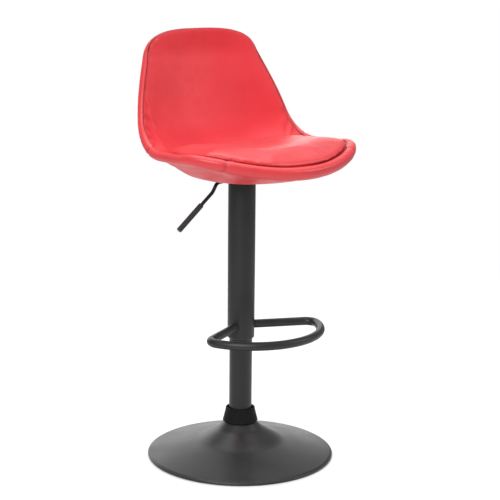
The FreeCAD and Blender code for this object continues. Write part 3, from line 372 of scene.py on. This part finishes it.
# ------------------------------------------------------------------ creases in the leather
# start and end on the sheet as (s, x), width and depth, in metres; x < 0 is the lever's side
CREASES = [
    ((0.318, -0.199), (0.266, -0.166), 0.0040, 0.0050),
    ((0.296, -0.203), (0.246, -0.172), 0.0040, 0.0060),
    ((0.274, -0.205), (0.236, -0.180), 0.0038, 0.0052),
    ((0.342, -0.194), (0.304, -0.168), 0.0046, 0.0036),
    ((0.368, -0.190), (0.336, -0.174), 0.0044, 0.0024),
    ((0.312, 0.199), (0.258, 0.166), 0.0042, 0.0048),
    ((0.288, 0.204), (0.244, 0.172), 0.0040, 0.0056),
    ((0.264, 0.206), (0.236, 0.182), 0.0036, 0.0042),
    ((0.336, 0.195), (0.300, 0.172), 0.0044, 0.0028),
]


def creased(s, x):
    """How far the leather dips at a point of the sheet."""
    dip = 0.0
    for (s0, x0), (s1, x1), wide, deep in CREASES:
        ds, dx = s1 - s0, x1 - x0
        length = math.hypot(ds, dx)
        along = ((s - s0) * ds + (x - x0) * dx) / length ** 2
        if -0.15 < along < 1.15:
            off = ((s - s0) * dx - (x - x0) * ds) / length
            bend = 0.0035 * math.sin(math.pi * along)
            end = smooth(-0.15, 0.2, along) * (1.0 - smooth(0.55, 1.15, along))
            dip += deep * end * (math.exp(-((off - bend) / wide) ** 2)
                                 - 0.5 * math.exp(-((off - bend - 2.1 * wide) / wide) ** 2))
    return dip


def frame_at(i, loop=None):
    """Centre, outward and upward directions of the roll at a rim station."""
    here = on_seat(RIM[i][0], RIM[i][1], 0.0, BOWL_DEPTH)
    a = on_seat(*RIM[i - 1], 0.0, BOWL_DEPTH)
    b = on_seat(*RIM[(i + 1) % COUNT], 0.0, BOWL_DEPTH)
    way = (b - a).normalized()
    normal = rim(RIM[i][0])[2]
    up = Vector((0.0, -normal[0], normal[1]))
    out = way.cross(up).normalized()
    if out.dot(here - on_seat(0.25, 0.0, 0.0, BOWL_DEPTH)) < 0:
        out = -out
    up = (up - way * up.dot(way)).normalized()
    return here, out, up


FRAMES = [frame_at(i) for i in range(COUNT)]
CROSS_SEAMS = (0.052, 0.247)
ROLL_WIDE = 0.0092
ROLL_UP = 0.0088
ROLL_LOW = 0.0118
ROLL_AROUND = 48


def seam_angle(i):
    """Where the lining's seam lies on the roll: inner side on the seat, outer on the top."""
    s = RIM[i][0]
    angle = 150.0 - 50.0 * smooth(0.235, 0.330, s)
    return math.radians(angle - 52.0 * smooth(LENGTH - 0.075, LENGTH - 0.012, s))


def roll_section(i, phi):
    """Outward and upward reach of the roll's skin at an angle round its section."""
    s, x = RIM[i]
    on_back = smooth(0.235, 0.335, s)
    front = 1.0 - smooth(0.0, 0.170, s)
    low = ROLL_LOW - 0.0030 * on_back + 0.0062 * front
    wide = ROLL_WIDE - 0.0026 * on_back + 0.0024 * front
    c, t = math.cos(phi), math.sin(phi)
    out = wide * c
    up = (ROLL_UP if t > 0 else low) * t
    swell = 1.0
    for spot in CROSS_SEAMS:
        swell -= 0.13 * math.exp(-((s - spot) / 0.0024) ** 2)
        swell += 0.035 * math.exp(-((abs(s - spot) - 0.006) / 0.004) ** 2)
    ripple = noise.noise(Vector((i * 0.55, phi * 1.3, 2.0 + 3.0 * (x > 0))))
    swell += 0.030 * ripple * (0.35 + 0.65 * smooth(0.40, 0.46, s))
    return out * swell, up * swell


def edge_roll():
    """The padded roll round the seat's edge, with its cross seams, slight puckers and painted shade
    in its seam groove.
    """
    def place(u, v):
        i = int(round(u * COUNT)) % COUNT
        here, out, up = FRAMES[i]
        phi = v * 2 * math.pi
        a, b = roll_section(i, phi)
        seam = math.cos(phi - seam_angle(i))
        groove = 0.0022 * math.exp(-(1.0 - seam) / 0.012)
        a -= groove * math.cos(phi)
        b -= groove * math.sin(phi)
        return here + out * a + up * b

    # painted shade: a darker band along the lining's seam groove, widened over the top of the back,
    # and at the cross seams
    def seam(u, v):
        i = int(round(u * COUNT)) % COUNT
        spread_out = 0.016 + 0.060 * smooth(LENGTH - 0.090, LENGTH - 0.030, RIM[i][0])
        line = math.exp(-(1.0 - math.cos(v * 2 * math.pi - seam_angle(i))) / spread_out)
        cross = sum(math.exp(-((RIM[i][0] - spot) / 0.0016) ** 2) for spot in CROSS_SEAMS)
        return min(1.0, 0.85 * line + 0.35 * cross)
    bm = wrapped(COUNT, ROLL_AROUND, place, seam)
    return finished("edge_roll_leather", bm, red_leather, "seat",
                    ["edge_roll"])


# ------------------------------------------------------------------ inner lining
POLE = (0.150, 0.0)
LINING_ROWS = 64
LINING_HEIGHT = 0.0102
LINING_THICKNESS = 0.0030
SEAM_DIP = 0.0010
EDGE_STEPS = (0.0, 0.0008, 0.0018, 0.0032, 0.0052, 0.0080, 0.0115, 0.0160, 0.0215, 0.0280)


def lining():
    """The thin padded lining: it dips at its seam on the roll and lies full on the shell, with
    painted shade at its sewn edge and in its creases.
    """
    rows = LINING_ROWS
    starts = []
    for i in range(COUNT):
        phi = seam_angle(i)
        a, b = roll_section(i, phi)
        starts.append((-a, b))
    loops = []
    for d in EDGE_STEPS:
        loops.append([inward_at(i, starts[i][0] + d) for i in range(COUNT)])

    def place(u, v):
        i = int(round(u * COUNT)) % COUNT
        k = int(round(v * rows))
        if k < len(EDGE_STEPS):
            s, x = loops[k][i]
            d = EDGE_STEPS[k]
        else:
            t = (rows - k) / (rows - len(EDGE_STEPS) + 1.0)
            s, x = loops[-1][i]
            s, x = POLE[0] + (s - POLE[0]) * t, POLE[1] + (x - POLE[1]) * t
            d = EDGE_STEPS[-1] + (1.0 - t) * 0.15
        full = LINING_HEIGHT + 0.0016 * smooth(0.0, 0.03, d)
        rise = 1.0 - math.exp(-d / 0.0030)
        sewn = starts[i][1] - SEAM_DIP
        off = sewn + (full - sewn) * rise
        pucker = noise.noise(Vector((i * 0.62, 0.5, 7.0))) * math.exp(-d / 0.010)
        off += 0.0018 * pucker * rise - creased(s, x) * smooth(0.001, 0.008, d)
        off += 0.0009 * noise.noise(Vector((s * 16.0, x * 16.0, 1.5))) * rise
        return on_seat(s, x, off, BOWL_DEPTH)

    # painted shade: darker at the lining's sewn edge against the roll and along the creases
    def seam(u, v):
        i = int(round(u * COUNT)) % COUNT
        k = int(round(v * rows))
        if k < len(EDGE_STEPS):
            return 0.9 * math.exp(-EDGE_STEPS[k] / 0.0018)
        t = (rows - k) / (rows - len(EDGE_STEPS) + 1.0)
        s, x = loops[-1][i]
        dip = creased(POLE[0] + (s - POLE[0]) * t, POLE[1] + (x - POLE[1]) * t)
        return min(0.45, max(0.0, dip) * 110.0)
    bm = wrapped(COUNT, rows, place, seam)
    obj = finished("lining_leather", bm, red_lining, "seat",
                   ["inner_padding"])
    solid_skin(obj, LINING_THICKNESS)
    return obj


def inward_at(i, distance):
    """One rim station moved inward over the sheet."""
    a, b = RIM[i - 1], RIM[(i + 1) % COUNT]
    size = math.hypot(b[0] - a[0], b[1] - a[1])
    return (RIM[i][0] + (b[1] - a[1]) / size * distance,
            RIM[i][1] - (b[0] - a[0]) / size * distance)


# ------------------------------------------------------------------ outer cover
OPENING = (0.079, 0.074, 0.020)
COLUMN_STATION = 0.206
COVER_ROWS = 46
COVER_OFF = -0.0074
COVER_THICKNESS = 0.0016
COVER_FLATNESS = 1.45


def opening_point(way):
    """The rounded opening round the seat plate, in the direction way from the column."""
    half_x, half_y, r = OPENING
    dx, dy = math.cos(way), math.sin(way)
    reach = 0.2
    for _ in range(40):
        x, y = dx * reach, dy * reach
        qx, qy = abs(x) - half_x + r, abs(y) - half_y + r
        d = math.hypot(max(qx, 0.0), max(qy, 0.0)) + min(max(qx, qy), 0.0) - r
        reach -= d * 0.9
    return dx * reach, dy * reach


def station_at(x, y):
    """The station s whose outer face lies over the row frame's y."""
    lo, hi = 0.0, LENGTH
    for _ in range(32):
        mid = (lo + hi) / 2
        if cover_spot(mid, x, COVER_OFF).y < y:
            lo = mid
        else:
            hi = mid
    return (lo + hi) / 2


def cover_spot(s, x, off):
    """A point of the outer cover: flat under the plate, shallower round it and up the back."""
    up_back = smooth(0.215, 0.330, s)
    away = smooth(0.114, 0.180, math.hypot(x, COLUMN_STATION - s)) * smooth(0.03, 0.12, s)
    return on_seat(s, x, off, OUTER_DEPTH - 0.0020 - 0.010 * up_back - 0.004 * away * (1.0 - up_back),
                   COVER_FLATNESS - 0.40 * max(up_back, away))


def outer_cover():
    """The cover under and behind the shell, turned in round the seat plate's opening."""
    rows = COVER_ROWS
    inner = []
    for i in range(COUNT):
        way = math.atan2(RIM[i][0] - COLUMN_STATION, RIM[i][1])
        ox, oy = opening_point(way)
        inner.append((station_at(ox, COLUMN_Y + oy), ox))

    def place(u, v):
        i = int(round(u * COUNT)) % COUNT
        k = int(round(v * rows))
        last = rows - 3
        t = min(k / last, 1.0)
        t = t * t * (1.6 - 0.6 * t)
        s0, x0 = inward_at(i, 0.0035)
        s1, x1 = inner[i]
        s, x = s0 + (s1 - s0) * t, x0 + (x1 - x0) * t
        off = COVER_OFF - 0.0022 * math.exp(-(t / 0.05) ** 2)
        off += 0.0010 * noise.noise(Vector((s * 15.0, x * 15.0, 4.5)))
        off -= creased_cover(s, x)
        spot = cover_spot(s, x, off)
        if k > last:
            spot = spot + Vector((-x1 * 0.010, 0.0, 0.0025 * (k - last)))
        return spot
    bm = wrapped(COUNT, rows, place)
    obj = finished("outer_cover_leather", bm, red_underside, "seat",
                   ["outer_cover"])
    solid_skin(obj, COVER_THICKNESS)
    return obj


def creased_cover(s, x):
    """Long pull lines in the cover, side by side under the roll."""
    band = smooth(0.50, 0.80, abs(x) / max(edge(s), 0.02)) * (1.0 - smooth(0.30, 0.40, s))
    return 0.0022 * band * noise.noise(Vector((s * 8.0, abs(x) * 62.0, 3.0 + (x > 0))))


# ------------------------------------------------------------------ seat cushion
CUSHION_FRONT = 0.0125
CUSHION_BACK = 0.274
CUSHION_HALF = 0.189
CUSHION_SEAM = 0.0135
CUSHION_CROWN = 0.0285
CUSHION_BASE = 0.0095
CUSHION_AROUND, CUSHION_ROWS = 180, 34
VOXEL = 0.0050
SWELL_CAP = 0.005
SWELL_FRAMES = 20
SWELL_EVENING = 14


def cushion_outline(a):
    """The cushion's outline on the sheet: a squarish oval kept inside the roll."""
    mid = (CUSHION_FRONT + CUSHION_BACK) / 2
    reach = (CUSHION_BACK - CUSHION_FRONT) / 2
    c, t = math.cos(a), math.sin(a)
    power = 2.0 / 3.4
    s = mid - reach * math.copysign(abs(c) ** power, c)
    x = CUSHION_HALF * math.copysign(abs(t) ** power, t)
    limit = max(edge(s) - 0.0155, 0.02)
    return s, max(-limit, min(limit, x))


def swell_cushion(obj):
    """Pumps the cushion up as cloth with its base held, evens it and caps the swelling."""
    remesh = obj.modifiers.new("skin", "REMESH")
    remesh.mode = "VOXEL"
    remesh.voxel_size = VOXEL
    bpy.context.view_layer.objects.active = obj
    bpy.ops.object.select_all(action="DESELECT")
    obj.select_set(True)
    bpy.ops.object.modifier_apply(modifier=remesh.name)
    home = [v.co.copy() for v in obj.data.vertices]
    held = obj.vertex_groups.new(name="held")
    for v in obj.data.vertices:
        if v.normal.z < -0.15:
            held.add([v.index], 1.0, "ADD")
    cloth = obj.modifiers.new("stuffing", "CLOTH")
    settings = cloth.settings
    settings.quality = 5
    settings.mass = 0.35
    settings.tension_stiffness = 30.0
    settings.compression_stiffness = 30.0
    settings.shear_stiffness = 8.0
    settings.bending_stiffness = 7.0
    settings.use_pressure = True
    settings.uniform_pressure_force = 9.0
    settings.effector_weights.gravity = 0.0
    settings.vertex_group_mass = "held"
    cloth.collision_settings.use_self_collision = False
    for number in range(1, SWELL_FRAMES + 1):
        bpy.context.scene.frame_set(number)
    bpy.ops.object.modifier_apply(modifier=cloth.name)
    bpy.context.scene.frame_set(1)
    swell = [v.co - start for v, start in zip(obj.data.vertices, home)]
    beside = [[] for _ in home]
    for link in obj.data.edges:
        a, b = link.vertices
        beside[a].append(b)
        beside[b].append(a)
    for _ in range(SWELL_EVENING):
        swell = [(swell[i] + sum((swell[j] for j in beside[i]), Vector())
                  / max(len(beside[i]), 1)) / 2 for i in range(len(home))]
    for v, start, moved in zip(obj.data.vertices, home, swell):
        v.co = start + moved * min(1.0, SWELL_CAP / max(moved.length, 0.000001))
    obj.vertex_groups.clear()


def seat_cushion():
    """The domed pad: full in the middle, steep at its front, drawn down to its seam."""
    mid = (CUSHION_FRONT + CUSHION_BACK) / 2

    def place(u, v):
        s, x = cushion_outline(u * 2 * math.pi)
        under = v < 0.5
        q = v * 2 if under else (1.0 - v) * 2
        if under:
            off = CUSHION_BASE
        else:
            rise = (1.0 - q ** 4.4) ** 0.66
            off = CUSHION_SEAM + CUSHION_CROWN * rise + 0.008 * (1.0 - q * q) ** 2
        return on_seat(mid + (s - mid) * q, x * q, off, BOWL_DEPTH)
    bm = wrapped(CUSHION_AROUND, CUSHION_ROWS * 2, place)
    obj = finished("seat_cushion_leather", bm, red_leather, "seat",
                   ["seat_cushion"])
    swell_cushion(obj)
    for face in obj.data.polygons:
        face.use_smooth = True
    sub = obj.modifiers.new("smooth", "SUBSURF")
    sub.levels = 1
    sub.render_levels = 1
    return obj


edge_roll()
lining()
outer_cover()
seat_cushion()


# ------------------------------------------------------------------ floor, light and camera
def studio_floor():
    """A plain pale floor that fades out round the stool."""
    bm = bmesh.new()
    bmesh.ops.create_grid(bm, x_segments=1, y_segments=1, size=3.0)
    mesh = bpy.data.meshes.new("floor")
    bm.to_mesh(mesh)
    bm.free()
    floor = bpy.data.objects.new("floor", mesh)
    bpy.context.scene.collection.objects.link(floor)
    floor.location.z = -0.0006

    def build(nodes, links, shader):
        coords = nodes.new("ShaderNodeTexCoord").outputs["Object"]
        cloud = texture(nodes, links, "Noise", coords, Scale=1.5, Detail=2.0)
        tone = spread(nodes, links, cloud.outputs["Fac"], 0.2, 0.8, (0.90, 0.90, 0.90),
                      (0.93, 0.93, 0.93))
        links.new(tone.outputs["Color"], shader.inputs["Base Color"])
        shader.inputs["Roughness"].default_value = 0.6
        shader.inputs["Specular IOR Level"].default_value = 0.2
        reach = nodes.new("ShaderNodeVectorMath")
        reach.operation = "LENGTH"
        links.new(coords, reach.inputs[0])
        fade = range_of(nodes, links, reach.outputs["Value"], 0.9, 2.4, 1.0, 0.0)
        links.new(fade, shader.inputs["Alpha"])
    mesh.materials.append(material("pale_floor", build))


def area_light(name, place, target, size, power):
    """A soft rectangular lamp that faces its target and isn't seen itself."""
    light = bpy.data.lights.new(name, "AREA")
    light.shape = "RECTANGLE"
    light.size, light.size_y = size
    light.energy = power
    obj = bpy.data.objects.new(name, light)
    bpy.context.scene.collection.objects.link(obj)
    obj.location = place
    obj.visible_camera = False
    obj.rotation_euler = (Vector(target) - Vector(place)).to_track_quat("-Z", "Y").to_euler()


studio_floor()
area_light("left_softbox", (-2.6, -1.6, 2.3), (0.0, 0.0, 0.55), (1.6, 1.6), 96.0)
area_light("right_softbox", (2.4, -2.2, 1.9), (0.0, 0.0, 0.5), (1.2, 1.6), 36.0)
area_light("overhead", (0.2, 0.3, 3.0), (0.0, 0.0, 0.4), (2.4, 2.4), 60.0)
area_light("back_panel", (1.4, 3.2, 1.3), (0.0, 0.0, 0.5), (4.2, 2.4), 52.0)

world = bpy.data.worlds.new("studio")
world.use_nodes = True
background = world.node_tree.nodes["Background"]
background.inputs["Color"].default_value = (1.0, 1.0, 1.0, 1.0)
ray = world.node_tree.nodes.new("ShaderNodeLightPath")
seen = world.node_tree.nodes.new("ShaderNodeMapRange")
seen.inputs["To Min"].default_value = 0.34
seen.inputs["To Max"].default_value = 1.0
world.node_tree.links.new(ray.outputs["Is Camera Ray"], seen.inputs["Value"])
world.node_tree.links.new(seen.outputs["Result"], background.inputs["Strength"])
bpy.context.scene.world = world
bpy.context.scene.view_settings.view_transform = "Standard"

camera_data = bpy.data.cameras.new("camera")
camera = bpy.data.objects.new("camera", camera_data)
bpy.context.scene.collection.objects.link(camera)
bpy.context.scene.camera = camera
camera_data.sensor_width = 36.0
camera_data.lens = 99.5
camera_data.shift_x = 0.0174
camera_data.shift_y = 0.0558
camera.location = (-1.839, COLUMN_Y - 2.271, 1.078)
aim = Vector((0.0, COLUMN_Y, 0.4)) - camera.location
camera.rotation_euler = aim.to_track_quat("-Z", "Y").to_euler()
camera.rotation_euler.rotate_axis("Z", math.radians(0.45))
